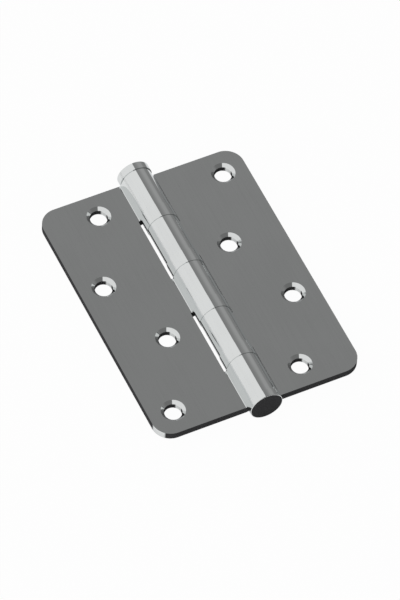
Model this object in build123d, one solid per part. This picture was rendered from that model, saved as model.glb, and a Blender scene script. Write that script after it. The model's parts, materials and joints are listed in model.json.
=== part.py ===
from build123d import *
import math
import os

# A butt hinge with four ball bearings between its five knuckles, lying open on its back.
# X runs across the leaves, Y along the pin towards the top of the door, Z out of the front faces.
# The origin is below the middle of the pin, level with the lowest point of the end caps.
# All sizes are in millimetres.

# Leaves
LEAF_HEIGHT = 100.0
LEAF_WIDTH = 37.5  # pin axis to outer edge
SHEET = 2.8
CORNER_RADIUS = 6.5
AXIS_LIFT = 1.0  # pin axis above the front faces, half the gap between the closed leaves
FLANK_LEAN = 15.0  # degrees from upright, of the straight flank between a knuckle and its fold
FOLD_RADIUS = 0.25  # inside radius of the tight fold between flank and flat
SLOT_RELIEF = 0.4  # the slots between the knuckles are cut this much deeper than the fold
CURL_GAP = 0.4  # slit between the rolled end of a knuckle and the back of its fold

# Screw holes
HOLE_COUNT = 4  # in each leaf
HOLE_DIAMETER = 6.0
COUNTERSINK_DIAMETER = 8.4
COUNTERSINK_ANGLE = 90.0
ROW_PITCH = 27.5  # from one hole to the next along the pin
INNER_COLUMN = 18.0  # pin axis to the holes near the barrel
OUTER_COLUMN = 28.8  # pin axis to the holes near the outer edge

# Pin and end caps
PIN_DIAMETER = 5.4
PIN_CLEARANCE = 0.05  # radial, pin to knuckle
PIN_CHAMFER = 0.5
PIN_END_GAP = 0.2  # pin end to cap stem
CAP_DIAMETER = 11.7
CAP_LENGTH = 2.8
CAP_EDGE_RADIUS = 0.2
CAP_STEM_LENGTH = 5.0
CAP_STEM_CLEARANCE = 0.01  # radial, stem to knuckle

# Knuckles and ball bearings
KNUCKLE_COUNT = 5
END_KNUCKLE_LENGTH = 16.1  # the first and the last
BEARING_LENGTH = 5.4  # room between two knuckles
BEARING_DIAMETER = 11.5
BEARING_BORE_CLEARANCE = 0.1  # radial, pin to races
CUP_WALL = 0.6
CUP_SKIRT_GAP = 0.05  # skirt to the knuckle below
CUP_EDGE_BREAK = 0.1
RACE_CLEARANCE = 0.1  # radial, lower race to skirt
BALL_COUNT = 12
BALL_DIAMETER = 1.0
BALL_CLEARANCE = 0.05  # ball to groove
GROOVE_HALF_ANGLE = 52.0  # share of the ball that each groove wraps
CAGE_FACE_CLEARANCE = 0.15  # cage to each race
CAGE_POCKET_CLEARANCE = 0.06  # ball to pocket
CAGE_WEB = 0.17  # left beside each pocket

# Worked out from the sizes above
BORE_RADIUS = PIN_DIAMETER / 2 + PIN_CLEARANCE
KNUCKLE_RADIUS = BORE_RADIUS + SHEET
AXIS_HEIGHT = max(KNUCKLE_RADIUS, BEARING_DIAMETER / 2, CAP_DIAMETER / 2)
FRONT = AXIS_HEIGHT - AXIS_LIFT
BACK = FRONT - SHEET
BEARING_COUNT = KNUCKLE_COUNT - 1
INNER_KNUCKLES_LENGTH = LEAF_HEIGHT - 2 * END_KNUCKLE_LENGTH - BEARING_COUNT * BEARING_LENGTH
INNER_KNUCKLE_LENGTH = INNER_KNUCKLES_LENGTH / (KNUCKLE_COUNT - 2)
# The fold is an arc that touches both the flat front face and the flank.
LEAN_SINE = math.sin(math.radians(FLANK_LEAN))
LEAN_COSINE = math.cos(math.radians(FLANK_LEAN))
FOLD_HEIGHT = FOLD_RADIUS - AXIS_LIFT  # fold centre above the pin axis
FOLD_START = (KNUCKLE_RADIUS + FOLD_RADIUS - FOLD_HEIGHT * LEAN_SINE) / LEAN_COSINE
PLATE_START = FOLD_START + SLOT_RELIEF
BEARING_BORE = PIN_DIAMETER / 2 + BEARING_BORE_CLEARANCE
CUP_INSIDE = BEARING_DIAMETER / 2 - CUP_WALL
RACE_RADIUS = CUP_INSIDE - RACE_CLEARANCE
# The balls run midway between the bore and the skirt.
BALL_PITCH_RADIUS = (BEARING_BORE + CUP_INSIDE) / 2
BALL_RADIUS = BALL_DIAMETER / 2
POCKET_RADIUS = BALL_RADIUS + CAGE_POCKET_CLEARANCE
CAGE_INSIDE = BALL_PITCH_RADIUS - POCKET_RADIUS - CAGE_WEB
CAGE_OUTSIDE = BALL_PITCH_RADIUS + POCKET_RADIUS + CAGE_WEB
GROOVE_RADIUS = BALL_RADIUS + BALL_CLEARANCE
GROOVE_HALF_WIDTH = GROOVE_RADIUS * math.sin(math.radians(GROOVE_HALF_ANGLE))
RACE_GAP = 2 * GROOVE_RADIUS * math.cos(math.radians(GROOVE_HALF_ANGLE))
CAGE_THICKNESS = RACE_GAP - 2 * CAGE_FACE_CLEARANCE


def knuckle_length(index):
    """Length of a knuckle along the pin, counted from 0 at the top."""
    is_end = index in (0, KNUCKLE_COUNT - 1)
    return END_KNUCKLE_LENGTH if is_end else INNER_KNUCKLE_LENGTH


def knuckle_top(index):
    """Y of the upper end of a knuckle, counted from 0 at the top."""
    return LEAF_HEIGHT / 2 - sum(knuckle_length(above) + BEARING_LENGTH for above in range(index))


def polar(radius, angle, centre=(0.0, 0.0)):
    """The point at a radius and an angle in degrees about a centre."""
    turn = math.radians(angle)
    return (centre[0] + radius * math.cos(turn), centre[1] + radius * math.sin(turn))


def arc_between(radius, start, end, centre=(0.0, 0.0)):
    """An arc about a centre from one angle to another, in degrees."""
    angles = (start, (start + end) / 2, end)
    return ThreePointArc(*[polar(radius, angle, centre) for angle in angles])


def rolled_section():
    """The sheet's section about the pin axis: it folds up into the flank, then rolls over the pin."""
    fold_centre = (-FOLD_START, FOLD_HEIGHT)
    fold_outside = FOLD_RADIUS + SHEET
    reach = math.hypot(*fold_centre)
    fold_bearing = math.degrees(math.atan2(fold_centre[1], fold_centre[0])) % 360
    touch_angle = 180 - FLANK_LEAN
    # The rolled end stops where its outer corner is CURL_GAP from the back of the fold.
    clear = fold_outside + CURL_GAP
    end_cosine = (KNUCKLE_RADIUS**2 + reach**2 - clear**2) / (2 * KNUCKLE_RADIUS * reach)
    end_angle = fold_bearing + math.degrees(math.acos(end_cosine)) - 360
    front_root = polar(FOLD_RADIUS, -90, fold_centre)
    back_root = polar(fold_outside, -90, fold_centre)
    outline = [
        Polyline(back_root, (-PLATE_START, back_root[1]), (-PLATE_START, front_root[1]), front_root),
        arc_between(FOLD_RADIUS, -90, -FLANK_LEAN, fold_centre),
        Line(polar(FOLD_RADIUS, -FLANK_LEAN, fold_centre), polar(KNUCKLE_RADIUS, touch_angle)),
        arc_between(KNUCKLE_RADIUS, touch_angle, end_angle),
        Line(polar(KNUCKLE_RADIUS, end_angle), polar(BORE_RADIUS, end_angle)),
        arc_between(BORE_RADIUS, end_angle, touch_angle),
        Line(polar(BORE_RADIUS, touch_angle), polar(fold_outside, -FLANK_LEAN, fold_centre)),
        arc_between(fold_outside, -FLANK_LEAN, -90, fold_centre),
    ]
    return make_face(outline)


def screw_hole(x, y):
    """A countersunk hole, cut from the front face."""
    sink = (COUNTERSINK_DIAMETER - HOLE_DIAMETER) / 2
    depth = sink / math.tan(math.radians(COUNTERSINK_ANGLE / 2))
    down = (Align.CENTER, Align.CENTER, Align.MAX)
    bore = Cylinder(HOLE_DIAMETER / 2, SHEET, align=down)
    cone = Cone(HOLE_DIAMETER / 2, COUNTERSINK_DIAMETER / 2, depth, align=down)
    return Pos(x, y, FRONT) * (bore + cone)


def leaf(knuckles):
    """The leaf on the -X side, with the given knuckles rolled round the pin."""
    flat_width = LEAF_WIDTH - PLATE_START
    outline = Rectangle(flat_width, LEAF_HEIGHT, align=(Align.MAX, Align.CENTER))
    outer_corners = outline.vertices().group_by(Axis.X)[0]
    outline = fillet(outer_corners, CORNER_RADIUS)
    body = extrude(Pos(-PLATE_START, 0, BACK) * outline, SHEET)
    section = rolled_section()
    for index in knuckles:
        top = Plane((0, knuckle_top(index), AXIS_HEIGHT), x_dir=(1, 0, 0), z_dir=(0, -1, 0))
        body += extrude(top * section, knuckle_length(index))
    # The holes stand in a zigzag, with the top one near the barrel.
    for row in range(HOLE_COUNT):
        column = OUTER_COLUMN if row % 2 else INNER_COLUMN
        body -= screw_hole(-column, ((HOLE_COUNT - 1) / 2 - row) * ROW_PITCH)
    return body


def turned(outline, y):
    """A ring or shaft turned about the pin axis from an outline of radius against length."""
    return Pos(0, y, AXIS_HEIGHT) * revolve(make_face(outline), Axis.Y)


def hinge_pin():
    """The straight pin, chamfered at both ends, between the stems of the two caps."""
    half = LEAF_HEIGHT / 2 - CAP_STEM_LENGTH - PIN_END_GAP
    radius = PIN_DIAMETER / 2
    neck = radius - PIN_CHAMFER
    shoulder = half - PIN_CHAMFER
    points = [(0, -half), (neck, -half), (radius, -shoulder), (radius, shoulder), (neck, half), (0, half)]
    return turned(Polyline(*points, close=True), 0)


def top_cap():
    """The end cap: a flat button with a rounded rim and a stem pressed into the end knuckle."""
    stem_radius = BORE_RADIUS - CAP_STEM_CLEARANCE
    rim = CAP_DIAMETER / 2
    shoulder = CAP_LENGTH - CAP_EDGE_RADIUS
    outline = [
        Polyline((0, CAP_LENGTH), (0, -CAP_STEM_LENGTH), (stem_radius, -CAP_STEM_LENGTH), (stem_radius, 0)),
        Polyline((stem_radius, 0), (rim, 0), (rim, shoulder)),
        arc_between(CAP_EDGE_RADIUS, 0, 90, (rim - CAP_EDGE_RADIUS, shoulder)),
        Line((rim - CAP_EDGE_RADIUS, CAP_LENGTH), (0, CAP_LENGTH)),
    ]
    return turned(outline, LEAF_HEIGHT / 2)


def groove(face_y, side):
    """The ball groove in a race's flat face: -1 cuts towards -Y and 1 towards +Y."""
    bottom = BEARING_LENGTH / 2 + side * GROOVE_RADIUS
    return ThreePointArc(
        (BALL_PITCH_RADIUS + GROOVE_HALF_WIDTH, face_y),
        (BALL_PITCH_RADIUS, bottom),
        (BALL_PITCH_RADIUS - GROOVE_HALF_WIDTH, face_y),
    )


def bearing_cup(y):
    """The upper race with the skirt that closes the bearing, seated under the knuckle above."""
    rim = BEARING_DIAMETER / 2
    edge = rim - CUP_EDGE_BREAK
    face = (BEARING_LENGTH + RACE_GAP) / 2
    foot = CUP_SKIRT_GAP
    outline = [
        Polyline(
            (BALL_PITCH_RADIUS - GROOVE_HALF_WIDTH, face),
            (BEARING_BORE, face),
            (BEARING_BORE, BEARING_LENGTH),
            (edge, BEARING_LENGTH),
            (rim, BEARING_LENGTH - CUP_EDGE_BREAK),
            (rim, foot + CUP_EDGE_BREAK),
            (edge, foot),
            (CUP_INSIDE, foot),
            (CUP_INSIDE, face),
            (BALL_PITCH_RADIUS + GROOVE_HALF_WIDTH, face),
        ),
        groove(face, 1),
    ]
    return turned(outline, y)


def bearing_race(y):
    """The lower race, inside the skirt and seated on the knuckle below."""
    face = (BEARING_LENGTH - RACE_GAP) / 2
    outline = [
        Polyline(
            (BALL_PITCH_RADIUS - GROOVE_HALF_WIDTH, face),
            (BEARING_BORE, face),
            (BEARING_BORE, 0),
            (RACE_RADIUS, 0),
            (RACE_RADIUS, face),
            (BALL_PITCH_RADIUS + GROOVE_HALF_WIDTH, face),
        ),
        groove(face, -1),
    ]
    return turned(outline, y)


def ball_places(y):
    """The places of the balls, evenly round the pin, with Z along the pin."""
    middle = Plane((0, y + BEARING_LENGTH / 2, AXIS_HEIGHT), x_dir=(1, 0, 0), z_dir=(0, 1, 0))
    return [middle * place for place in PolarLocations(BALL_PITCH_RADIUS, BALL_COUNT)]


def bearing_cage(y):
    """The flat ring that keeps the balls apart."""
    middle = Plane((0, y + BEARING_LENGTH / 2, AXIS_HEIGHT), x_dir=(1, 0, 0), z_dir=(0, 1, 0))
    ring = middle * (Cylinder(CAGE_OUTSIDE, CAGE_THICKNESS) - Cylinder(CAGE_INSIDE, CAGE_THICKNESS))
    pocket = Cylinder(POCKET_RADIUS, CAGE_THICKNESS)
    return ring - [place * pocket for place in ball_places(y)]


def bearing_balls(y):
    """The steel balls of one bearing."""
    return Compound([place * Sphere(BALL_RADIUS) for place in ball_places(y)])


os.makedirs("parts", exist_ok=True)
half_turn = Rot(0, 0, 180)
pieces = {
    "frame_leaf": leaf([0, 2, 4]),
    "door_leaf": half_turn * leaf([1, 3]),
    "hinge_pin": hinge_pin(),
    "top_cap": top_cap(),
    "bottom_cap": half_turn * top_cap(),
}
for number in range(1, BEARING_COUNT + 1):
    foot_y = knuckle_top(number)
    pieces[f"bearing_{number}_cup"] = bearing_cup(foot_y)
    pieces[f"bearing_{number}_race"] = bearing_race(foot_y)
    pieces[f"bearing_{number}_cage"] = bearing_cage(foot_y)
    pieces[f"bearing_{number}_balls"] = bearing_balls(foot_y)
for name, piece in pieces.items():
    export_step(piece, f"parts/{name}.step")
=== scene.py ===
import json
import logging
import math
from dataclasses import dataclass, field
from enum import Enum
from typing import Any

import bpy
import numpy as np
from mathutils.geometry import delaunay_2d_cdt
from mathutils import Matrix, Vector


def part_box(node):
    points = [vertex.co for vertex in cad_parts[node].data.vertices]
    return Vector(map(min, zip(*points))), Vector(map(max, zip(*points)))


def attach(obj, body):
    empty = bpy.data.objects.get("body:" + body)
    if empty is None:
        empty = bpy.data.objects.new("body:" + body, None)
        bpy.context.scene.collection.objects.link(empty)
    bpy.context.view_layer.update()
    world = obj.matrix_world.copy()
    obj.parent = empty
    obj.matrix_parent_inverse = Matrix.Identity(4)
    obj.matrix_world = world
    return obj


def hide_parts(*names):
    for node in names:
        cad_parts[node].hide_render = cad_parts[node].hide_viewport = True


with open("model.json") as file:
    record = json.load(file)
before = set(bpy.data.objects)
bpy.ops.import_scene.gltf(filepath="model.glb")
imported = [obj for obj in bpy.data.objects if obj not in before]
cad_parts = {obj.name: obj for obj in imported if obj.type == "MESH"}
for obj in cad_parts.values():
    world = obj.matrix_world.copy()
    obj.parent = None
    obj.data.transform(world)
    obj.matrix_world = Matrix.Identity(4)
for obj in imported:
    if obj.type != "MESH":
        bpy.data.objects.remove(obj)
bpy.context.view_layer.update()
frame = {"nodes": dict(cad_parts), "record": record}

LOG = logging.getLogger("hinge")
MM = 0.001
WELD = 0.0001 * MM  # points of a piece that lie closer than this become one
RAW_AND_PAINTED_SHADE = "raw"  # the mesh attribute that says how far a surface turns to dull dark steel: partly unplated steel, partly painted shade
WHITE = (1.0, 1.0, 1.0)
BEARING_COUNT = 4
INSIDE_ONLY = 1  # the triangulation keeps what the outline encloses
CUT_TOLERANCE = 1e-7  # of the triangulation, in millimetres
Pair = tuple[float, float]
Triple = tuple[float, float, float]


class Side(Enum):
    """Which leaf a sheet belongs to, as the factor on X and Y that brings it to its side of the pin."""

    FRAME = 1.0
    DOOR = -1.0


class Edge(Enum):
    """What a stretch of a leaf's outline is: an outer edge, a slot's root, or a side or the end of a tab."""

    OUTER = "outer"
    SLOT = "slot"
    LOWER = "lower"
    UPPER = "upper"
    END = "end"


class Value:
    """A number socket of a node tree that adds Math nodes when it is used in an expression."""

    def __init__(self, graph: "Graph", socket: bpy.types.NodeSocket) -> None:
        """Keeps the tree and the socket."""
        self.graph = graph
        self.socket = socket

    def _math(self, operation: str, first: Any, second: Any) -> "Value":
        """Adds one Math node.

        Args:
            operation: Blender's name of the operation.
            first: the first operand, a number or a Value.
            second: the second operand.

        Returns:
            The node's result.
        """
        made = self.graph.node("ShaderNodeMath", {"operation": operation}, {0: first, 1: second})
        return Value(self.graph, made.outputs[0])

    def __add__(self, other: Any) -> "Value":
        """Sum."""
        return self._math("ADD", self, other)

    def __radd__(self, other: Any) -> "Value":
        """Sum with a number on the left."""
        return self._math("ADD", other, self)

    def __sub__(self, other: Any) -> "Value":
        """Difference."""
        return self._math("SUBTRACT", self, other)

    def __rsub__(self, other: Any) -> "Value":
        """Difference with a number on the left."""
        return self._math("SUBTRACT", other, self)

    def __mul__(self, other: Any) -> "Value":
        """Product."""
        return self._math("MULTIPLY", self, other)

    def __rmul__(self, other: Any) -> "Value":
        """Product with a number on the left."""
        return self._math("MULTIPLY", other, self)

    def at_most(self, other: Any) -> "Value":
        """The lesser of the two."""
        return self._math("MINIMUM", self, other)

    def rise(self, low: float, high: float) -> "Value":
        """A smooth step from 0 at low to 1 at high.

        Args:
            low: the value where the step starts.
            high: the value where it ends.

        Returns:
            The stepped value.
        """
        made = self.graph.node(
            "ShaderNodeMapRange",
            {"interpolation_type": "SMOOTHSTEP"},
            {"Value": self, "From Min": low, "From Max": high},
        )
        return Value(self.graph, made.outputs[0])


class Graph:
    """A node tree that is filled by one method."""

    def __init__(self, tree: bpy.types.NodeTree) -> None:
        """Empties the tree and keeps it."""
        self.tree = tree
        tree.nodes.clear()

    def node(
        self, kind: str, settings: dict[str, Any] | None = None, inputs: dict[Any, Any] | None = None
    ) -> bpy.types.Node:
        """Adds a node.

        Args:
            kind: the node's type name.
            settings: attributes of the node, set before its sockets.
            inputs: values, sockets or Values by the socket's name or number.

        Returns:
            The new node.
        """
        made = self.tree.nodes.new(kind)
        for name, setting in (settings or {}).items():
            setattr(made, name, setting)
        for name, given in (inputs or {}).items():
            socket = made.inputs[name]
            source = given.socket if isinstance(given, Value) else given
            if isinstance(source, bpy.types.NodeSocket):
                self.tree.links.new(source, socket)
            else:
                socket.default_value = source
        return made

    def value(self, socket: bpy.types.NodeSocket) -> Value:
        """Wraps a number socket."""
        return Value(self, socket)

    def mix(self, share: Any, first: Any, second: Any) -> bpy.types.NodeSocket:
        """Mixes two colours: a Mix node has them at its inputs 6 and 7 and its output 2.

        Args:
            share: how much of the second colour, a number or a Value.
            first: the colour at 0, as numbers or a socket.
            second: the colour at 1.

        Returns:
            The mixed colour's socket.
        """
        made = self.node("ShaderNodeMix", {"data_type": "RGBA"}, {"Factor": share, 6: first, 7: second})
        return made.outputs[2]

    def noise(self, coordinates: bpy.types.NodeSocket, scale: float, detail: float) -> Value:
        """A noise value about 0.5.

        Args:
            coordinates: where to look the noise up.
            scale: grains per metre.
            detail: how many finer layers are added.

        Returns:
            The noise.
        """
        made = self.node("ShaderNodeTexNoise", {}, {"Vector": coordinates, "Scale": scale, "Detail": detail})
        return self.value(made.outputs["Fac"])

    def stretched(self, coordinates: bpy.types.NodeSocket, scale: Triple) -> bpy.types.NodeSocket:
        """Coordinates scaled by axis, for marks that run one way."""
        made = self.node("ShaderNodeMapping", {}, {"Vector": coordinates, "Scale": scale})
        return made.outputs[0]

    def metal(self, inputs: dict[str, Any], height: Value) -> None:
        """Ends the tree in a Principled shader with a bump.

        Args:
            inputs: values or links of the shader's sockets.
            height: the bump's height in metres.
        """
        bump = self.node("ShaderNodeBump", {}, {"Strength": 1.0, "Distance": 1.0, "Height": height})
        shader = self.node("ShaderNodeBsdfPrincipled", {}, {**inputs, "Normal": bump.outputs[0]})
        self.node("ShaderNodeOutputMaterial", {}, {"Surface": shader.outputs[0]})


def new_material(name: str) -> tuple[bpy.types.Material, Graph]:
    """A new material with an empty node tree.

    Args:
        name: the material's name.

    Returns:
        The material and its tree.
    """
    made = bpy.data.materials.new(name)
    made.use_nodes = True
    return made, Graph(made.node_tree)


def rgba(colour: Triple, share: float = 1.0) -> tuple[float, float, float, float]:
    """The colour with its brightness multiplied by a share, and full opacity."""
    return (*(share * part for part in colour), 1.0)


@dataclass(frozen=True)
class PlatedSteel:
    """Bright nickel plate over steel, with dull dark steel where the mesh asks for it: partly unplated edges,
    partly painted shade.

    Args:
        name: the material's name.
        plate: colour of the plate.
        plate_roughness: roughness of the plate.
        haze: how far the plate's roughness wanders.
        edge_tint: how much the plate reflects at a glancing angle.
        smudge_grain: smudges per metre.
        rub_grain: rub marks per metre along X, Y and Z; they run along the pin.
        worn_limits: sums of smudge and rub between which the plate wears.
        worn_share: brightness of worn plate beside fresh plate.
        wave_grain: slow waves of the plate per metre.
        wave_height: height of those waves, in metres.
        steel_and_shade: colour of the dull dark sides, partly unplated steel and partly painted shade.
        steel_spread: how far that colour goes up and down.
        steel_roughness: roughness of the raw sides.
        steel_shine: how metallic the raw sides still look under their scale.
        cut_grain: shear marks per metre along X, Y and Z; they run through the sheet.
        cut_height: height of the shear marks, in metres.
    """

    name: str
    plate: Triple = (0.748, 0.764, 0.76)
    plate_roughness: float = 0.05
    haze: float = 0.03
    edge_tint: Triple = (0.86, 0.87, 0.88)
    smudge_grain: float = 55.0
    rub_grain: Triple = (1800.0, 50.0, 1800.0)
    worn_limits: Pair = (0.8, 1.3)
    worn_share: float = 0.965
    wave_grain: float = 160.0
    wave_height: float = 1.5e-6
    # the dark colour is partly the sheared edges' own colour and partly painted shade on walls, edges and the
    # caps' end discs
    steel_and_shade: Triple = (0.06, 0.06, 0.062)
    steel_spread: float = 0.2
    steel_roughness: float = 0.38
    steel_shine: float = 0.03
    cut_grain: Triple = (2600.0, 2600.0, 300.0)
    cut_height: float = 7.5e-6

    def material(self) -> bpy.types.Material:
        """Builds the material.

        Returns:
            The material, with its share of dull dark steel and painted shade read from the mesh.
        """
        made, graph = new_material(self.name)
        place = graph.node("ShaderNodeTexCoord").outputs["Object"]
        raw = graph.value(graph.node("ShaderNodeAttribute", {"attribute_name": RAW_AND_PAINTED_SHADE}).outputs["Fac"])
        smudge = graph.noise(place, self.smudge_grain, detail=3.0)
        rub = graph.noise(graph.stretched(place, self.rub_grain), 1.0, detail=3.0)
        cut = graph.noise(graph.stretched(place, self.cut_grain), 1.0, detail=2.0)
        wave = graph.noise(place, self.wave_grain, detail=1.0)
        worn = (smudge + rub).rise(*self.worn_limits)
        plate = graph.mix(worn, rgba(self.plate), rgba(self.plate, self.worn_share))
        dark, light = 1.0 - self.steel_spread, 1.0 + self.steel_spread
        steel_and_shade = graph.mix(cut, rgba(self.steel_and_shade, dark), rgba(self.steel_and_shade, light))
        plate_roughness = self.plate_roughness + self.haze * (smudge + rub - 1.0)
        inputs = {
            # the dull dark steel mixed in here paints shade where the mesh's share is high
            "Base Color": graph.mix(raw, plate, steel_and_shade),
            "Metallic": 1.0 - raw * (1.0 - self.steel_shine),
            "Roughness": plate_roughness + raw * (self.steel_roughness - plate_roughness),
            "Specular IOR Level": 0.0,
            "Specular Tint": rgba(self.edge_tint),
        }
        graph.metal(inputs, wave * self.wave_height + raw * cut * self.cut_height)
        return made


@dataclass(frozen=True)
class BareMetal:
    """A turned or stamped metal inside the barrel, with fine marks along or round the pin.

    Args:
        name: the material's name.
        colour: the metal's colour.
        roughness: the metal's roughness.
        marks: grains per metre along X, Y and Z, so that the marks run one way.
        mark_share: brightness of the marks beside the metal.
        mark_haze: how far the marks change the roughness.
        mark_height: height of the marks, in metres.
    """

    name: str
    colour: Triple
    roughness: float
    marks: Triple
    mark_share: float = 0.85
    mark_haze: float = 0.12
    mark_height: float = 2e-6

    def material(self) -> bpy.types.Material:
        """Builds the material.

        Returns:
            The material.
        """
        made, graph = new_material(self.name)
        place = graph.node("ShaderNodeTexCoord").outputs["Object"]
        marks = graph.noise(graph.stretched(place, self.marks), 1.0, detail=3.0)
        inputs = {
            "Base Color": graph.mix(marks, rgba(self.colour, self.mark_share), rgba(self.colour)),
            "Metallic": 1.0,
            "Roughness": self.roughness + self.mark_haze * (marks - 0.5),
        }
        graph.metal(inputs, marks * self.mark_height)
        return made


def unit(vectors: np.ndarray) -> np.ndarray:
    """The vectors scaled to length 1 along their last axis."""
    return vectors / np.linalg.norm(vectors, axis=-1, keepdims=True)


def smooth(values: np.ndarray, low: float, high: float) -> np.ndarray:
    """A smooth step from 0 where the values are at low to 1 where they are at high."""
    share = np.clip((values - low) / (high - low), 0.0, 1.0)
    return share * share * (3.0 - 2.0 * share)


@dataclass(frozen=True)
class PaintedGlintAndShade:
    """Painted highlight and shade on the plate: the front and the barrel stay bright plate, but walls turn to
    dull dark steel, partly unplated and partly painted shade, except where they face one bearing, where the
    bright plate paints a highlight.

    Args:
        wheel_bearing: compass angle, in degrees from +X, of the side whose walls get the painted highlight.
        glint_reach: how far to each side of that bearing a wall's normal may point and still get the painted
            highlight.
        glint_fade: how many degrees beyond it the painted highlight takes to fade out.
        slot: painted shade on the slots' walls on the glint's side, as a share of dull dark steel, half dark
            so that no line shows there.
        back: raw share of the flat backs and of the knuckles' bores.
        lee: painted shade on a countersink, as a share of dull dark steel, on the side that faces away from
            the glint.
        lee_start: how many degrees from the glint's bearing that side starts.
        throat: how far out of a screw hole its dull dark wall, painted shade, reaches into the countersink,
            in metres.
        edge_wrap: how far round a leaf's edge the dull dark wall's painted shade reaches, as the sines of the
            turn between which it fades.
        knuckle_wrap: the same at the ends of the knuckles.
    """

    wheel_bearing: float = 207.0
    glint_reach: float = 21.0
    glint_fade: float = 4.0
    slot: float = 0.5
    back: float = 0.15
    lee: float = 0.6
    lee_start: float = 125.0
    throat: float = 0.15 * MM
    edge_wrap: Pair = (0.0, 0.5)
    knuckle_wrap: Pair = (0.95, 1.0)

    def off_glint(self, normals: np.ndarray) -> np.ndarray:
        """Degrees between the glint's bearing and the bearing of the normals."""
        bearing = np.degrees(np.arctan2(normals[..., 1], normals[..., 0])) - self.wheel_bearing
        return np.abs((bearing + 180.0) % 360.0 - 180.0)

    def wall(self, normals: np.ndarray) -> np.ndarray:
        """Share of dull dark steel on an upright wall, as painted shade: 1 unless its normal points to the
        glint, where the bright plate paints a highlight.
        """
        return smooth(self.off_glint(normals), self.glint_reach, self.glint_reach + self.glint_fade)

    def slot_wall(self, normals: np.ndarray) -> np.ndarray:
        """Painted shade on a slot's wall, as a share of dull dark steel: less where its normal points to the
        glint's side.
        """
        return np.where(self.off_glint(normals) < 90.0, self.slot, 1.0)

    def cone(self, normals: np.ndarray) -> np.ndarray:
        """Painted shade on a countersink, as a share of dull dark steel: some where its normal points away
        from the glint.
        """
        return self.lee * smooth(self.off_glint(normals), self.lee_start, self.lee_start + self.glint_fade)


PAINTED_GLINT_AND_SHADE = PaintedGlintAndShade()


@dataclass
class Shell:
    """A closed surface, gathered from patches whose points and normals are worked out exactly.

    Args:
        name: name of the finished piece.
        points: point arrays of the patches.
        normals: normal arrays of the patches, one normal for each point.
        raw_and_painted_shades: how far each point's surface turns to dull dark steel, from 0 to 1; partly
            unplated steel, partly painted shade.
        faces: corner numbers of the patches, four to a face; a triangle repeats its last corner.
        count: how many points the patches hold so far.
    """

    name: str
    points: list[np.ndarray] = field(default_factory=list)
    normals: list[np.ndarray] = field(default_factory=list)
    raw_and_painted_shades: list[np.ndarray] = field(default_factory=list)
    faces: list[np.ndarray] = field(default_factory=list)
    count: int = 0

    def patch(self, points: np.ndarray, normals: np.ndarray, raw: Any, faces: np.ndarray) -> None:
        """Adds a patch.

        Args:
            points: its points, one row each.
            normals: its normals, one row each.
            raw: its share of dull dark steel, partly painted shade, one number or one for each point.
            faces: four corner numbers for each face.
        """
        self.points.append(points)
        self.normals.append(normals)
        self.raw_and_painted_shades.append(np.broadcast_to(raw, len(points)))
        self.faces.append(faces + self.count)
        self.count += len(points)

    def grid(self, points: np.ndarray, normals: np.ndarray, raw: Any) -> None:
        """Adds a grid of rows and columns as a patch of quads.

        Args:
            points: the grid, shaped rows by columns by 3.
            normals: the normals, in the same shape.
            raw: the share of dull dark steel, partly painted shade, one number or rows by columns.
        """
        rows, columns = points.shape[:2]
        number = np.arange(rows * columns).reshape(rows, columns)
        corners = (number[:-1, :-1], number[1:, :-1], number[1:, 1:], number[:-1, 1:])
        faces = np.stack([corner.ravel() for corner in corners], axis=1)
        share = np.broadcast_to(raw, (rows, columns)).ravel()
        self.patch(points.reshape(-1, 3), normals.reshape(-1, 3), share, faces)

    def piece(self, finish: bpy.types.Material) -> bpy.types.Object:
        """Welds the patches and makes the piece.

        Points that lie together become one. A face is turned over where its winding disagrees with its
        normals, a corner that repeats the next one is dropped, and so is a face with fewer than three left.

        Args:
            finish: the material of the piece.

        Returns:
            The new object, linked to the scene.
        """
        points = np.concatenate(self.points)
        normals = unit(np.concatenate(self.normals))
        raw_and_painted_shades = np.concatenate(self.raw_and_painted_shades)
        faces = np.concatenate(self.faces)
        diagonals = points[faces[:, 2]] - points[faces[:, 0]], points[faces[:, 3]] - points[faces[:, 1]]
        winding = np.einsum("ij,ij->i", np.cross(*diagonals), normals[faces].sum(axis=1))
        faces = np.where((winding < 0)[:, None], faces[:, ::-1], faces)
        keys = np.round(points / WELD).astype(np.int64)
        _, first, welded = np.unique(keys, axis=0, return_index=True, return_inverse=True)
        corners = welded.reshape(-1)[faces]
        kept = corners != np.roll(corners, -1, axis=1)
        whole = kept.sum(axis=1) >= 3
        kept &= whole[:, None]
        sizes = kept.sum(axis=1)[whole]
        mesh = bpy.data.meshes.new(self.name)
        mesh.vertices.add(len(first))
        mesh.vertices.foreach_set("co", points[first].astype(np.float32).ravel())
        mesh.loops.add(int(sizes.sum()))
        mesh.loops.foreach_set("vertex_index", corners[kept].astype(np.int32))
        mesh.polygons.add(len(sizes))
        mesh.polygons.foreach_set("loop_start", (np.cumsum(sizes) - sizes).astype(np.int32))
        mesh.update(calc_edges=True)
        mesh.polygons.foreach_set("use_smooth", np.ones(len(sizes), bool))
        raw_and_painted_shade_layer = mesh.attributes.new(RAW_AND_PAINTED_SHADE, "FLOAT", "CORNER")
        raw_and_painted_shade_layer.data.foreach_set("value", raw_and_painted_shades[faces[kept]].astype(np.float32))
        mesh.normals_split_custom_set(normals[faces[kept]])
        mesh.materials.append(finish)
        made = bpy.data.objects.new(self.name, mesh)
        bpy.context.scene.collection.objects.link(made)
        return made


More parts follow.
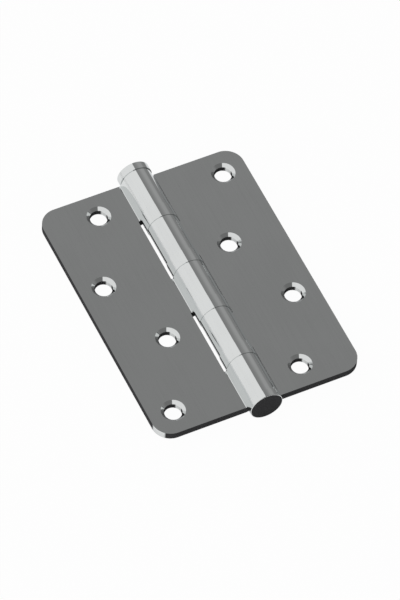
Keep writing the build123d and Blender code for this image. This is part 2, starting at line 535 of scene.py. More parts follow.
@dataclass(frozen=True)
class Run:
    """One smooth stretch of an outline, with its outside normals.

    Args:
        points: its points, one row of two numbers each.
        normals: its outside normals, one for each point.
    """

    points: np.ndarray
    normals: np.ndarray

    @classmethod
    def line(cls, start: Pair, end: Pair) -> "Run":
        """A straight run with the outside on its right.

        Args:
            start: its first point.
            end: its last point.

        Returns:
            The run.
        """
        points = np.array([start, end])
        along = unit(points[1] - points[0])
        return cls(points, np.tile([along[1], -along[0]], (2, 1)))

    @classmethod
    def arc(cls, centre: Pair, radius: float, start: float, end: float, steps: int = 8) -> "Run":
        """An arc from one angle to another; a rising angle has the outside away from the centre.

        Args:
            centre: the arc's centre.
            radius: its radius.
            start: its first angle in degrees.
            end: its last angle in degrees.
            steps: how many equal steps it has.

        Returns:
            The run.
        """
        angle = np.radians(np.linspace(start, end, steps + 1))
        spoke = np.stack([np.cos(angle), np.sin(angle)], axis=1)
        return cls(np.array(centre) + radius * spoke, spoke * (1.0 if end > start else -1.0))


Outline = list[tuple[Edge, Run]]


def inset_vectors(runs: list[Run]) -> list[np.ndarray]:
    """Where each point of a closed outline goes for an inset of 1.

    Inside a run a point moves against its normal. Where two runs meet at a corner it moves along the corner's
    bisector, far enough to stay on both shifted runs.

    Args:
        runs: the outline's runs in order, each ending where the next one starts.

    Returns:
        One array of vectors for each run.
    """
    vectors = [-run.normals.copy() for run in runs]
    for here, run in enumerate(runs):
        there = (here + 1) % len(runs)
        first, second = run.normals[-1], runs[there].normals[0]
        corner = -(first + second) / (1.0 + first @ second)
        vectors[here][-1] = corner
        vectors[there][0] = corner
    return vectors


def ring_edges(count: int) -> np.ndarray:
    """The edges of a closed loop of points, as pairs of neighbouring numbers."""
    number = np.arange(count)
    return np.stack([number, np.roll(number, -1)], axis=1)


@dataclass(frozen=True)
class HingeSizes:
    """The hinge's sizes in metres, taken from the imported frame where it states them.

    Args:
        axis_height: height of the pin axis.
        leaf_width: pin axis to a leaf's outer edge.
        leaf_height: length of a leaf along the pin.
        back: height of the leaves' back faces.
        knuckle_radius: outside radius of the knuckles.
        hole_radius: radius of the screw holes.
        sheet: thickness of the sheet.
        corner_radius: radius of the leaves' outer corners.
        fold_radius: inside radius of the fold at the root of a knuckle.
        flank_lean: lean of the straight flank between fold and curl, in radians from upright.
        slot_relief: how much deeper than the fold the slots between the knuckles are cut.
        curl_gap: slit between a knuckle's rolled end and the back of its fold.
        countersink_radius: radius of a countersink at the front face.
        countersink_slope: how steeply a countersink goes down from the front face, in radians.
        edge_round: radius on the sheet's edges.
        rim_round: radius on the rims of the holes.
    """

    axis_height: float
    leaf_width: float
    leaf_height: float
    back: float
    knuckle_radius: float
    hole_radius: float
    sheet: float = 2.8 * MM
    corner_radius: float = 6.5 * MM
    fold_radius: float = 0.25 * MM
    flank_lean: float = math.radians(15.0)
    slot_relief: float = 0.4 * MM
    curl_gap: float = 0.4 * MM
    countersink_radius: float = 4.2 * MM
    countersink_slope: float = math.radians(45.0)
    edge_round: float = 0.02 * MM
    rim_round: float = 0.03 * MM

    @classmethod
    def from_frame(cls, record: dict[str, Any]) -> "HingeSizes":
        """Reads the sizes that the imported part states.

        Args:
            record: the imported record.

        Returns:
            The sizes.
        """
        mounts = {mount["name"]: mount for mount in record["mounts"]}
        axis_height = record["behaviour"]["joints"][0]["pos_m"][2]
        low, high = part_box("frame_leaf")
        return cls(
            axis_height=axis_height,
            leaf_width=-low.x,
            leaf_height=high.y - low.y,
            back=mounts["frame_leaf_back"]["pos_m"][2],
            knuckle_radius=high.z - axis_height,
            hole_radius=mounts["frame_inner_screws"]["dims"]["hole_r_mm"] * MM,
        )

    @property
    def front(self) -> float:
        """Height of the leaves' front faces."""
        return self.back + self.sheet

    @property
    def bore_radius(self) -> float:
        """Radius of the knuckles' bore."""
        return self.knuckle_radius - self.sheet


@dataclass(frozen=True)
class Roll:
    """The way from the flat blank to the rolled leaf: a fold, a straight flank and a curl round the pin.

    A point of the blank has a distance s from the fold's start, a place y along the pin and a depth below
    the front face. On the flat the leaf lies level. In the fold, s turns the point about the fold's centre,
    which is in front of the sheet. On the flank it moves straight on. In the curl, s turns it about the pin
    axis, which is behind the sheet.

    Args:
        sizes: the hinge's sizes.
        fold_steps: how many steps the fold is divided into.
        flank_steps: the same for the flank.
        curl_steps: the same for the curl.
    """

    sizes: HingeSizes
    fold_steps: int = 8
    flank_steps: int = 3
    curl_steps: int = 96

    @property
    def fold_height(self) -> float:
        """Height of the fold's centre above the pin axis."""
        return self.sizes.front + self.sizes.fold_radius - self.sizes.axis_height

    @property
    def fold_start(self) -> float:
        """Where the fold starts: its centre stands off the pin axis, across the flank, by both radii.

        Returns:
            The distance from the pin axis to the line where the fold starts.
        """
        lean = self.sizes.flank_lean
        clear = self.sizes.knuckle_radius + self.sizes.fold_radius
        return (clear - self.fold_height * math.sin(lean)) / math.cos(lean)

    @property
    def fold_turn(self) -> float:
        """Angle of the fold in radians."""
        return math.pi / 2 - self.sizes.flank_lean

    @property
    def fold_length(self) -> float:
        """Length of the fold along the middle of the sheet."""
        return self.fold_turn * (self.sizes.fold_radius + self.sizes.sheet / 2)

    @property
    def flank_length(self) -> float:
        """Length of the straight flank, from the fold to the point where it touches the curl."""
        lean = self.sizes.flank_lean
        return self.fold_start * math.sin(lean) - self.fold_height * math.cos(lean)

    @property
    def curl_turn(self) -> float:
        """How far the sheet curls: until its corner is the slit's width from the back of the fold.

        The corner, the pin axis and the fold's centre make a triangle with three known sides.

        Returns:
            The angle in radians.
        """
        radius = self.sizes.knuckle_radius
        reach = math.hypot(self.fold_start, self.fold_height)
        clear = self.sizes.fold_radius + self.sizes.sheet + self.sizes.curl_gap
        corner = math.acos((radius**2 + reach**2 - clear**2) / (2 * radius * reach))
        return 2 * math.pi - self.sizes.flank_lean - math.atan2(-self.fold_height, self.fold_start) - corner

    @property
    def curl_length(self) -> float:
        """Length of the curl along the middle of the sheet."""
        return self.curl_turn * (self.sizes.knuckle_radius - self.sizes.sheet / 2)

    def steps(self) -> np.ndarray:
        """The places at which a tab is divided, close enough to look round.

        Returns:
            The places s, from the slots' depth on.
        """
        curl_start = self.fold_length + self.flank_length
        fold = np.linspace(0.0, self.fold_length, self.fold_steps + 1)
        flank = np.linspace(self.fold_length, curl_start, self.flank_steps + 1)[1:]
        curl = np.linspace(curl_start, curl_start + self.curl_length, self.curl_steps + 1)[1:]
        return np.concatenate([[-self.sizes.slot_relief], fold, flank, curl])

    def bend(
        self, s: np.ndarray, y: np.ndarray, depth: np.ndarray
    ) -> tuple[np.ndarray, np.ndarray, np.ndarray]:
        """Rolls points of the blank.

        Args:
            s: distances from the fold's start, below 0 on the flat.
            y: places along the pin.
            depth: depths below the front face.

        Returns:
            The points, the front face's normals and the directions in which s grows.
        """
        s, y, depth = np.broadcast_arrays(s, y, depth)
        sizes = self.sizes
        lean = sizes.flank_lean
        fold_angle = np.clip(s / self.fold_length, 0.0, 1.0) * self.fold_turn - math.pi / 2
        straight = np.clip(s - self.fold_length, 0.0, self.flank_length)
        curl = s - self.fold_length - self.flank_length
        curl_angle = math.pi - lean - np.clip(curl / self.curl_length, 0.0, 1.0) * self.curl_turn
        spoke = sizes.fold_radius + depth
        fold_x = np.minimum(s, 0.0) - self.fold_start + spoke * np.cos(fold_angle) + straight * math.sin(lean)
        fold_z = self.fold_height + spoke * np.sin(fold_angle) + straight * math.cos(lean)
        curl_x = (sizes.knuckle_radius - depth) * np.cos(curl_angle)
        curl_z = (sizes.knuckle_radius - depth) * np.sin(curl_angle)
        curled = curl > 0.0
        x = np.where(curled, curl_x, fold_x)
        z = np.where(curled, curl_z, fold_z) + sizes.axis_height
        front_x = np.where(curled, np.cos(curl_angle), -np.cos(fold_angle))
        front_z = np.where(curled, np.sin(curl_angle), -np.sin(fold_angle))
        level = np.zeros_like(x)
        points = np.stack([x, y, z], axis=-1)
        front = np.stack([front_x, level, front_z], axis=-1)
        along = np.stack([front_z, level, -front_x], axis=-1)
        return points, front, along


@dataclass(frozen=True)
class Leaf:
    """One leaf: a stamped blank with rounded corners and countersunk holes, rolled into its knuckles.

    Args:
        node: the CAD node that it stands for.
        body: the CAD body that it rides on.
        side: which side of the pin it lies on.
        sizes: the hinge's sizes.
        tabs: the lower and upper end of each knuckle along the pin, from the bottom up, before the turn.
        holes: the centres of its screw holes, before the turn.
        corner_steps: how many steps an outer corner is divided into.
        round_steps: the same for the section of a rounded edge.
        lip_steps: the same for the section of a countersink's lip.
        hole_steps: the same for the way round a hole.
    """

    node: str
    body: str
    side: Side
    sizes: HingeSizes
    tabs: tuple[Pair, ...]
    holes: tuple[Pair, ...]
    corner_steps: int = 24
    round_steps: int = 4
    lip_steps: int = 3
    hole_steps: int = 72

    @property
    def roll(self) -> Roll:
        """How its blank is rolled."""
        return Roll(self.sizes)

    def turned(self, vectors: np.ndarray) -> np.ndarray:
        """Points or normals brought to the leaf's own side of the pin."""
        return vectors * np.array([self.side.value, self.side.value, 1.0])

    def tab_side(self, y: float, outward: float) -> Run:
        """A side of a tab, at the places where the roll is divided.

        Args:
            y: its place along the pin.
            outward: -1.0 for a lower side, which runs away from the plate, or 1.0 for an upper one, which
                runs back.

        Returns:
            The run.
        """
        steps = self.roll.steps()
        points = np.stack([steps, np.full_like(steps, y)], axis=1)
        return Run(points if outward < 0.0 else points[::-1], np.tile([0.0, outward], (len(steps), 1)))

    def outline(self) -> Outline:
        """The blank's outline, counter-clockwise, with s to the right and y up.

        Returns:
            The runs in order, each with the kind of edge that it is.
        """
        half = self.sizes.leaf_height / 2
        outer = self.roll.fold_start - self.sizes.leaf_width
        radius = self.sizes.corner_radius
        corner = outer + radius
        steps = self.roll.steps()
        root, tip = steps[0], steps[-1]
        runs = [(Edge.OUTER, Run.line((corner, -half), (root, -half)))]
        here = -half
        for low, high in self.tabs:
            if low > here:
                runs.append((Edge.SLOT, Run.line((root, here), (root, low))))
            runs.append((Edge.LOWER, self.tab_side(low, -1.0)))
            runs.append((Edge.END, Run.line((tip, low), (tip, high))))
            runs.append((Edge.UPPER, self.tab_side(high, 1.0)))
            here = high
        if here < half:
            runs.append((Edge.SLOT, Run.line((root, here), (root, half))))
        outside = (
            Run.line((root, half), (corner, half)),
            Run.arc((corner, half - radius), radius, 90.0, 180.0, self.corner_steps),
            Run.line((outer, half - radius), (outer, radius - half)),
            Run.arc((corner, radius - half), radius, 180.0, 270.0, self.corner_steps),
        )
        return runs + [(Edge.OUTER, run) for run in outside]

    def edge_section(self) -> tuple[np.ndarray, np.ndarray, np.ndarray]:
        """The section of an edge from front to back: a quarter round, a wall and a quarter round.

        Returns:
            The insets, the depths and the angles between the front normal and the section's normal.
        """
        radius = self.sizes.edge_round
        angle = np.linspace(0.0, math.pi / 2, self.round_steps + 1)
        inset = radius * (1.0 - np.sin(angle))
        depth = radius * (1.0 - np.cos(angle))
        insets = np.concatenate([inset, inset[::-1]])
        depths = np.concatenate([depth, self.sizes.sheet - depth[::-1]])
        return insets, depths, np.concatenate([angle, math.pi - angle[::-1]])

    def walls(self, shell: Shell, runs: Outline, moves: list[np.ndarray]) -> None:
        """Adds the sides of the sheet, run by run.

        Args:
            shell: the shell to add to.
            runs: the outline's runs.
            moves: their inset vectors.
        """
        insets, depths, angles = self.edge_section()
        for (kind, run), move in zip(runs, moves):
            flat = run.points[None] + insets[:, None, None] * move[None]
            points, front, along = self.roll.bend(flat[..., 0], flat[..., 1], depths[:, None])
            outward = run.normals[None, :, :1] * along + run.normals[None, :, 1:] * np.array([0.0, 1.0, 0.0])
            tilt = angles[:, None, None]
            normals = self.turned(np.cos(tilt) * front + np.sin(tilt) * outward)
            # the walls are dull dark steel, painted shade, except where their normals face the glint's
            # bearing, where the bright plate paints a highlight; the slots' walls are half dark
            wrap = PAINTED_GLINT_AND_SHADE.knuckle_wrap if kind in (Edge.LOWER, Edge.UPPER) else PAINTED_GLINT_AND_SHADE.edge_wrap
            upright = smooth(np.sin(angles), *wrap)[:, None]
            raw = PAINTED_GLINT_AND_SHADE.slot_wall(normals) if kind is Edge.SLOT else PAINTED_GLINT_AND_SHADE.wall(normals)
            shell.grid(self.turned(points), normals, upright * raw)

    def tab_faces(self, shell: Shell, runs: Outline, moves: list[np.ndarray], depth: float) -> None:
        """Adds one face of each rolled tab, as a strip between its lower and upper sides.

        Args:
            shell: the shell to add to.
            runs: the outline's runs.
            moves: their inset vectors.
            depth: 0 for the front face, or the sheet's thickness for the back.
        """
        sides = {Edge.LOWER: [], Edge.UPPER: []}
        for (kind, run), move in zip(runs, moves):
            if kind in sides:
                sides[kind].append(run.points + self.sizes.edge_round * move)
        facing, raw = (1.0, 0.0) if depth == 0.0 else (-1.0, PAINTED_GLINT_AND_SHADE.back)
        for lower, upper in zip(sides[Edge.LOWER], sides[Edge.UPPER]):
            flat = np.stack([lower, upper[::-1]], axis=1)
            points, front, _ = self.roll.bend(flat[..., 0], flat[..., 1], np.float64(depth))
            shell.grid(self.turned(points), self.turned(facing * front), raw)

    @property
    def lip_radius(self) -> float:
        """Radius at which the rounded lip of a countersink meets the front face."""
        sizes = self.sizes
        return sizes.countersink_radius + sizes.rim_round * math.tan(sizes.countersink_slope / 2)

    def cone_depth(self, radius: float) -> float:
        """Depth below the front face at which a countersink has narrowed to a radius."""
        return (self.sizes.countersink_radius - radius) * math.tan(self.sizes.countersink_slope)

    def circle(self, centre: Pair, radius: Any) -> np.ndarray:
        """Rings of a hole, closed by repeating their first point.

        Args:
            centre: the hole's centre.
            radius: one radius, or one for each ring.

        Returns:
            The points, shaped rings by points by 2.
        """
        angle = np.linspace(0.0, 2 * math.pi, self.hole_steps + 1)
        spoke = np.stack([np.cos(angle), np.sin(angle)], axis=1)
        return np.array(centre) + np.atleast_1d(radius)[:, None, None] * spoke[None]

    def hole_walls(self, shell: Shell, centre: Pair) -> None:
        """Adds a countersunk hole: a rounded lip, a cone, its dark throat, a short wall and a rounded foot,
        with painted shade and highlight on them.

        Each part is given as radii, depths and the outward and upward shares of its normals.

        Args:
            shell: the shell to add to.
            centre: the hole's centre.
        """
        sizes = self.sizes
        rim, bore, slope = sizes.rim_round, sizes.hole_radius, sizes.countersink_slope
        turn = np.linspace(0.0, slope, self.lip_steps + 1)
        lip = (self.lip_radius - rim * np.sin(turn), rim * (1.0 - np.cos(turn)), -np.sin(turn), np.cos(turn))
        leaning = (np.full(2, -math.sin(slope)), np.full(2, math.cos(slope)))
        mouth = bore + PAINTED_GLINT_AND_SHADE.throat
        mouth_depth, bore_depth = self.cone_depth(mouth), self.cone_depth(bore)
        cone = (np.array([lip[0][-1], mouth]), np.array([lip[1][-1], mouth_depth]), *leaning)
        throat = (np.array([mouth, bore]), np.array([mouth_depth, bore_depth]), *leaning)
        wall = (np.full(2, bore), np.array([bore_depth, sizes.sheet - rim]), np.full(2, -1.0), np.zeros(2))
        quarter = np.linspace(0.0, math.pi / 2, self.round_steps + 1)
        foot = (
            bore + rim * (1.0 - np.cos(quarter)),
            sizes.sheet - rim * (1.0 - np.sin(quarter)),
            -np.cos(quarter),
            -np.sin(quarter),
        )
        # painted shade: the lip and cone darken on the side away from the glint; the throat, wall and foot
        # are dull dark steel except toward the glint, where the plate paints a highlight
        plated = [(part, PAINTED_GLINT_AND_SHADE.cone) for part in (lip, cone)]
        punched = [(part, PAINTED_GLINT_AND_SHADE.wall) for part in (throat, wall, foot)]
        for (radii, depths, outward, upward), raw in plated + punched:
            rings = self.circle(centre, radii)
            heights = np.broadcast_to((sizes.front - depths)[:, None, None], (*rings.shape[:2], 1))
            spoke = self.circle((0.0, 0.0), 1.0) * outward[:, None, None]
            rise = np.broadcast_to(upward[:, None, None], heights.shape)
            points = np.concatenate([rings, heights], axis=2)
            normals = self.turned(np.concatenate([spoke, rise], axis=2))
            shell.grid(self.turned(points), normals, raw(normals))

    def flat_face(self, shell: Shell, runs: Outline, moves: list[np.ndarray], depth: float) -> None:
        """Adds the flat face of the plate, cut into triangles between its outline and its holes.

        A triangle with all its corners on the rim of one hole lies in that hole and is left out.

        Args:
            shell: the shell to add to.
            runs: the outline's runs.
            moves: their inset vectors.
            depth: 0 for the front face, or the sheet's thickness for the back.
        """
        sizes = self.sizes
        is_front = depth == 0.0
        pick = {Edge.LOWER: slice(0, 1), Edge.UPPER: slice(-1, None), Edge.END: slice(0, 0)}
        inset = [run.points + sizes.edge_round * move for (_, run), move in zip(runs, moves)]
        loop = np.concatenate([points[pick.get(kind, slice(None))] for (kind, _), points in zip(runs, inset)])
        fresh = np.linalg.norm(loop - np.roll(loop, 1, axis=0), axis=1) > WELD
        loops = [loop[fresh] - np.array([self.roll.fold_start, 0.0])]
        radius = self.lip_radius if is_front else sizes.hole_radius + sizes.rim_round
        loops += [self.circle(centre, radius)[0, :-1] for centre in self.holes]
        starts = np.cumsum([0] + [len(points) for points in loops])
        edges = np.concatenate([start + ring_edges(len(points)) for start, points in zip(starts, loops)])
        flat = np.concatenate(loops)
        spots = (flat / MM).tolist()
        _, _, faces, sources, _, _ = delaunay_2d_cdt(spots, edges.tolist(), [], INSIDE_ONLY, CUT_TOLERANCE)
        corners = np.array(faces)
        flat = flat[[source[0] for source in sources]]
        reach = np.linalg.norm(flat[:, None] - np.array(self.holes)[None], axis=2)
        on_rim = reach < radius + sizes.rim_round
        corners = corners[~on_rim[corners].all(axis=1).any(axis=1)]
        points = np.column_stack([flat, np.full(len(flat), sizes.front - depth)])
        normals = np.tile([0.0, 0.0, 1.0 if is_front else -1.0], (len(flat), 1))
        raw = 0.0 if is_front else PAINTED_GLINT_AND_SHADE.back
        shell.patch(self.turned(points), normals, raw, np.column_stack([corners, corners[:, 2]]))

    def build(self, finish: bpy.types.Material) -> bpy.types.Object:
        """Makes the leaf.

        Args:
            finish: its material.

        Returns:
            The piece, riding on its body in place of its CAD node.
        """
        shell = Shell(f"{self.node}_sheet")
        runs = self.outline()
        moves = inset_vectors([run for _, run in runs])
        self.walls(shell, runs, moves)
        for depth in (0.0, self.sizes.sheet):
            self.flat_face(shell, runs, moves, depth)
            self.tab_faces(shell, runs, moves, depth)
        for centre in self.holes:
            self.hole_walls(shell, centre)
        return dress(shell.piece(finish), self.node, self.body)


@dataclass(frozen=True)
class Turning:
    """A piece turned about the pin axis: a closed outline of radius against length, carried round the axis.

    Args:
        node: the CAD node that it stands for.
        body: the CAD body that it rides on.
        axis_height: height of the pin axis.
        runs: the outline's runs, counter-clockwise with the radius to the right and the length up.
        raw_and_painted_shades: shares of dull dark steel, partly painted shade, by the number of the run; the
            other runs are bright plate.
        steps: how many steps the way round the axis is divided into.
    """

    node: str
    body: str
    axis_height: float
    runs: tuple[Run, ...]
    raw_and_painted_shades: dict[int, float]
    steps: int = 128

    def build(self, finish: bpy.types.Material) -> bpy.types.Object:
        """Makes the piece: each run becomes a grid of its points against the steps round the axis.

        Args:
            finish: its material.

        Returns:
            The piece, riding on its body in place of its CAD node.
        """
        shell = Shell(f"{self.node}_turned")
        angle = np.linspace(0.0, 2 * math.pi, self.steps + 1)
        level = np.zeros_like(angle)
        for number, run in enumerate(self.runs):
            radius, length = run.points[:, :1], run.points[:, 1:]
            height = radius * np.sin(angle) + self.axis_height
            points = np.stack([radius * np.cos(angle), length + level, height], axis=-1)
            outward, endward = run.normals[:, :1], run.normals[:, 1:]
            normals = np.stack([outward * np.cos(angle), endward + level, outward * np.sin(angle)], axis=-1)
            shell.grid(points, normals, self.raw_and_painted_shades.get(number, 0.0))
        return dress(shell.piece(finish), self.node, self.body)


def dress(piece: bpy.types.Object, node: str, body: str) -> bpy.types.Object:
    """Lets a piece ride on its body and stand for its CAD node, which it hides.

    Args:
        piece: the new piece.
        node: the CAD node that it stands for.
        body: the CAD body that it rides on.

    Returns:
        The piece.
    """
    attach(piece, body)
    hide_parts(node)
    LOG.info("%s rides on %s in place of %s", piece.name, body, node)
    return piece


@dataclass(frozen=True)
class EndCap:
    """The button that closes an end of the barrel, with a stem in the knuckle's bore.

    Args:
        node: the CAD node that it stands for.
        body: the CAD body that it rides on.
        sizes: the hinge's sizes.
        rim_radius: radius of the rounded rim.
        stem_gap: room between the stem and the bore.
    """

    node: str
    body: str
    sizes: HingeSizes
    rim_radius: float = 0.2 * MM
    stem_gap: float = 0.01 * MM

    def build(self, finish: bpy.types.Material) -> bpy.types.Object:
        """Makes the cap from its place in the frame.

        Args:
            finish: its material.

        Returns:
            The piece.
        """
        low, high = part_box(self.node)
        is_top = high.y > -low.y
        seat = self.sizes.leaf_height / 2
        tip, stem_end = (high.y, low.y) if is_top else (-low.y, -high.y)
        radius, stem, rim = (high.x - low.x) / 2, self.sizes.bore_radius - self.stem_gap, self.rim_radius
        runs = (
            Run.line((0.0, stem_end), (stem, stem_end)),
            Run.line((stem, stem_end), (stem, seat)),
            Run.line((stem, seat), (radius, seat)),
            Run.line((radius, seat), (radius, tip - rim)),
            Run.arc((radius - rim, tip - rim), rim, 0.0, 90.0),
            Run.line((radius - rim, tip), (0.0, tip)),
        )
        if not is_top:
            flip = np.array([1.0, -1.0])
            runs = tuple(Run(run.points * flip, run.normals * flip) for run in runs)
        # the end disc is all dull dark steel, which paints shade on it
        disc = len(runs) - 1
        return Turning(self.node, self.body, self.sizes.axis_height, runs, {disc: 1.0}).build(finish)


@dataclass(frozen=True)
class BearingCup:
    """The ring of a bearing that shows: an upper race with a ball groove, and a skirt that hides the balls.

    Args:
        node: the CAD node that it stands for.
        body: the CAD body that it rides on.
        sizes: the hinge's sizes.
        wall: thickness of the skirt.
        bore: radius of the bore.
        groove: radius of the ball groove's section, about the middle of the balls.
        edge: radius on the outer edges.
        lift: how far the skirt stays off the knuckle below.
        edge_steps: how many steps the section of a rounded edge is divided into.
        groove_steps: the same for the section of the groove.
    """

    node: str
    body: str
    sizes: HingeSizes
    wall: float = 0.6 * MM
    bore: float = 2.8 * MM
    groove: float = 0.55 * MM
    edge: float = 0.015 * MM
    lift: float = 0.01 * MM
    edge_steps: int = 4
    groove_steps: int = 12

    def build(self, finish: bpy.types.Material) -> bpy.types.Object:
        """Makes the cup from its place in the frame; above the balls it is as thick as the race below them.

        Args:
            finish: its material.

        Returns:
            The piece.
        """
        low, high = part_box(self.node)
        race_low, race_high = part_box(self.node.replace("cup", "race"))
        radius, edge = (high.x - low.x) / 2, self.edge
        inside, face = radius - self.wall, high.y - (race_high.y - race_low.y)
        foot = race_low.y + self.lift
        pitch, middle = (self.bore + inside) / 2, (race_low.y + high.y) / 2
        wrap = math.acos((face - middle) / self.groove)
        half_width, degrees = self.groove * math.sin(wrap), math.degrees(wrap)
        runs = (
            Run.line((inside, foot), (radius - edge, foot)),
            Run.arc((radius - edge, foot + edge), edge, -90.0, 0.0, self.edge_steps),
            Run.line((radius, foot + edge), (radius, high.y - edge)),
            Run.arc((radius - edge, high.y - edge), edge, 0.0, 90.0, self.edge_steps),
            Run.line((radius - edge, high.y), (self.bore, high.y)),
            Run.line((self.bore, high.y), (self.bore, face)),
            Run.line((self.bore, face), (pitch - half_width, face)),
            Run.arc((pitch, middle), self.groove, 90.0 + degrees, 90.0 - degrees, self.groove_steps),
            Run.line((pitch + half_width, face), (inside, face)),
            Run.line((inside, face), (inside, foot)),
        )
        return Turning(self.node, self.body, self.sizes.axis_height, runs, {}).build(finish)


@dataclass(frozen=True)
class Studio:
    """Floor, light and camera.

    Args:
        floor_size: side of the floor in metres.
        floor_colour: colour of the floor.
        floor_glow: share of the floor that is plain white to the camera, so that its shadow stays faint.
        mirror_glow: the same share in reflections, away from the hinge.
        shade_reach: how near a piece has to be to shade the floor in reflections.
        sheen_start: how far a reflected view of the floor may lean, from 0 to 1, before its sheen starts.
        sheen_end: the lean at which the floor is all sheen.
        sheen_roughness: roughness of the sheen.
        bright_bearing: compass angle, in degrees from +X, of the bright side.
        bright_level: radiance of the bright side.
        zenith_level: radiance of the grey side overhead.
        zenith_rise: heights on the unit sphere between which the band turns into it.
        band_level: radiance of the grey side's lighter band, half way down.
        band_rise: heights on the unit sphere between which the horizon turns into the band.
        horizon_level: radiance of the grey side at the horizon.
        front_share: what is left of the grey side's light in front of the hinge.
        front_fade: places along Y on the unit sphere between which it falls to that.
        edge_softness: half the width of the change between the sides.
        focal_pixels: focal length in pixels of the picture.
        picture_height: height of the picture in pixels.
        sensor: width of the sensor in millimetres.
        camera_place: place of the camera in metres.
        camera_turn: turn of the camera about X, Y and Z in degrees.
    """

    floor_size: float = 80.0
    floor_colour: Triple = (0.9, 0.9, 0.9)
    floor_glow: float = 0.97
    mirror_glow: float = 0.85
    shade_reach: float = 4.0 * MM
    sheen_start: float = 0.6
    sheen_end: float = 0.84
    sheen_roughness: float = 0.2
    bright_bearing: float = 167.0
    bright_level: float = 0.9
    zenith_level: float = 0.243
    zenith_rise: Pair = (0.55, 0.88)
    band_level: float = 0.372
    band_rise: Pair = (0.15, 0.4)
    horizon_level: float = 0.255
    front_share: float = 0.5
    front_fade: Pair = (-0.2, -0.7)
    edge_softness: float = 0.014
    focal_pixels: float = 5577.0
    picture_height: float = 600.0
    sensor: float = 36.0
    camera_place: Triple = (-0.532026, -0.966402, 1.523126)
    camera_turn: Triple = (35.8174, -2.5712, -25.3147)

    def floor(self) -> bpy.types.Object:
        """Lays the pale floor: white to the camera and in reflections, with its shade and a sheen there.

        Returns:
            The floor, marked as stage.
        """
        half = self.floor_size / 2
        x, y = np.meshgrid([-half, half], [-half, half], indexing="ij")
        mesh = bpy.data.meshes.new("floor")
        corners = np.stack([x, y, np.zeros_like(x)], axis=-1).reshape(-1, 3)
        mesh.from_pydata(corners.tolist(), [], [(0, 2, 3, 1)])
        paint, graph = new_material("pale_floor")
        colour = rgba(self.floor_colour)
        path = graph.node("ShaderNodeLightPath").outputs
        direct = graph.value(path["Is Camera Ray"])
        mirrored = graph.value(path["Is Glossy Ray"]) + graph.value(path["Is Transmission Ray"])
        mirrored = mirrored.at_most(1.0)
        matt = graph.node("ShaderNodeBsdfDiffuse", {}, {"Color": colour})
        white = graph.node("ShaderNodeEmission", {}, {"Color": rgba(WHITE), "Strength": 1.0})
        shade = graph.node("ShaderNodeAmbientOcclusion", {}, {"Distance": self.shade_reach})
        clear = graph.value(shade.outputs["AO"])
        share = direct * self.floor_glow + mirrored * clear * self.mirror_glow
        plain = graph.node("ShaderNodeMixShader", {}, {0: share, 1: matt.outputs[0], 2: white.outputs[0]})
        satin = graph.node("ShaderNodeBsdfGlossy", {}, {"Color": colour, "Roughness": self.sheen_roughness})
        lean = graph.value(graph.node("ShaderNodeLayerWeight").outputs["Facing"])
        sheen = lean.rise(self.sheen_start, self.sheen_end) * mirrored
        mixed = graph.node("ShaderNodeMixShader", {}, {0: sheen, 1: plain.outputs[0], 2: satin.outputs[0]})
        graph.node("ShaderNodeOutputMaterial", {}, {"Surface": mixed.outputs[0]})
        mesh.materials.append(paint)
        made = bpy.data.objects.new("floor", mesh)
        bpy.context.scene.collection.objects.link(made)
        return made

    def sky(self) -> None:
        """Makes the studio's walls: a bright side and a grey side that meet overhead."""
        world = bpy.data.worlds.new("studio")
        world.use_nodes = True
        bpy.context.scene.world = world
        graph = Graph(world.node_tree)
        towards = graph.node("ShaderNodeTexCoord").outputs["Generated"]
        parts = graph.node("ShaderNodeSeparateXYZ", {}, {"Vector": towards}).outputs
        x, y, z = (graph.value(part) for part in parts)
        bearing = math.radians(self.bright_bearing)
        across = x * math.cos(bearing) + y * math.sin(bearing)
        bright = across.rise(-self.edge_softness, self.edge_softness)
        lower = self.horizon_level + z.rise(*self.band_rise) * (self.band_level - self.horizon_level)
        grey_side = lower + z.rise(*self.zenith_rise) * (self.zenith_level - self.band_level)
        grey_side = grey_side * (1.0 - y.rise(*self.front_fade) * (1.0 - self.front_share))
        level = grey_side + bright * (self.bright_level - grey_side)
        shade = graph.node("ShaderNodeBackground", {}, {"Color": rgba(WHITE), "Strength": level})
        graph.node("ShaderNodeOutputWorld", {}, {"Surface": shade.outputs[0]})

    def camera(self) -> None:
        """Sets up the camera at the photograph's angle."""
        data = bpy.data.cameras.new("camera")
        data.sensor_width = self.sensor
        data.lens = self.focal_pixels * self.sensor / self.picture_height
        made = bpy.data.objects.new("camera", data)
        made.location = self.camera_place
        made.rotation_euler = [math.radians(angle) for angle in self.camera_turn]
        bpy.context.scene.collection.objects.link(made)
        bpy.context.scene.camera = made

    def build(self) -> None:
        """Builds floor, light and camera."""
        self.floor()
        self.sky()
        self.camera()
        bpy.context.scene.view_settings.view_transform = "Standard"
        LOG.info("floor, light and camera are set")


def screw_places(record: dict[str, Any], names: tuple[str, ...], side: Side) -> tuple[Pair, ...]:
    """The screw holes of a leaf, from the part's mounts.

    Args:
        record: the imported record.
        names: the mounts on the leaf.
        side: the leaf's side; the places are turned back to the frame's side.

    Returns:
        The holes' centres.
    """
    mounts = [mount for mount in record["mounts"] if mount["name"] in names]
    pairs = [(*mount["pos_m"][:2], mount["dims"]["spacing_y_mm"] * MM) for mount in mounts]
    return tuple(
        (side.value * x, side.value * (y + end * spacing / 2))
        for x, y, spacing in pairs
        for end in (-1.0, 1.0)
    )


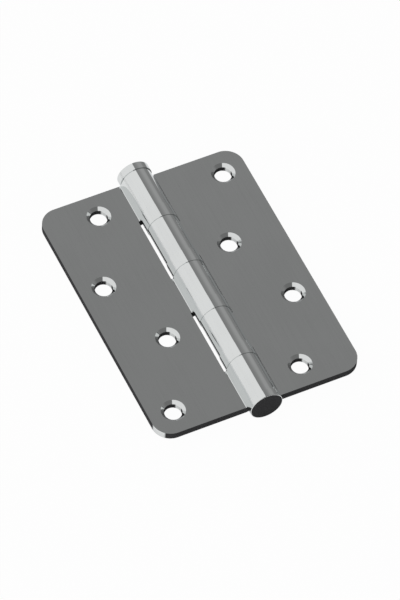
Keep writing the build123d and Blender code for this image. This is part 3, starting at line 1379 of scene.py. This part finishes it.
def knuckle_ends(sizes: HingeSizes) -> list[Pair]:
    """The lower and upper end of each knuckle, from the top down, between the bearings' seats.

    Args:
        sizes: the hinge's sizes.

    Returns:
        One pair for each knuckle.
    """
    half = sizes.leaf_height / 2
    numbers = range(1, BEARING_COUNT + 1)
    uppers = [half] + [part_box(f"bearing_{number}_race")[0].y for number in numbers]
    lowers = [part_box(f"bearing_{number}_cup")[1].y for number in numbers] + [-half]
    return list(zip(lowers, uppers))


def main() -> None:
    """Builds the hinge's pieces in order, dresses the hidden ones and sets up the studio."""
    logging.basicConfig(level=logging.INFO, format="%(name)s: %(message)s")
    record = frame["record"]
    sizes = HingeSizes.from_frame(record)
    leaf_plate = PlatedSteel("leaf_plate").material()
    cap_plate = PlatedSteel("cap_plate").material()
    cup_plate = PlatedSteel("bearing_plate").material()
    ends = knuckle_ends(sizes)
    frame_tabs = tuple(ends[::-2])
    door_tabs = tuple((-high, -low) for low, high in ends[1::2])
    frame_holes = screw_places(record, ("frame_inner_screws", "frame_outer_screws"), Side.FRAME)
    door_holes = screw_places(record, ("door_inner_screws", "door_outer_screws"), Side.DOOR)
    Leaf("frame_leaf", "frame_side", Side.FRAME, sizes, frame_tabs, frame_holes).build(leaf_plate)
    Leaf("door_leaf", "door_side", Side.DOOR, sizes, door_tabs, door_holes).build(leaf_plate)
    for name in ("top_cap", "bottom_cap"):
        EndCap(name, "frame_side", sizes).build(cap_plate)
    for number in range(1, BEARING_COUNT + 1):
        body = "frame_side" if number % 2 else "door_side"
        BearingCup(f"bearing_{number}_cup", body, sizes).build(cup_plate)
    inner = {
        "hinge_pin": BareMetal(
            "drawn_pin", colour=(0.58, 0.58, 0.58), roughness=0.28, marks=(2500.0, 40.0, 2500.0)
        ),
        "race": BareMetal(
            "ground_race", colour=(0.55, 0.55, 0.56), roughness=0.3, marks=(300.0, 2500.0, 300.0)
        ),
        "cage": BareMetal(
            "stamped_brass", colour=(0.75, 0.58, 0.28), roughness=0.32, marks=(900.0, 900.0, 900.0)
        ),
        "balls": BareMetal(
            "polished_ball", colour=(0.7, 0.7, 0.71), roughness=0.1, marks=(1500.0, 1500.0, 1500.0)
        ),
    }
    for ending, finish in inner.items():
        material = finish.material()
        for name, node in frame["nodes"].items():
            if name.endswith(ending):
                node.data.materials.clear()
                node.data.materials.append(material)
                LOG.info("%s is dressed with %s", name, finish.name)
    Studio().build()


if __name__ == "__main__":
    main()
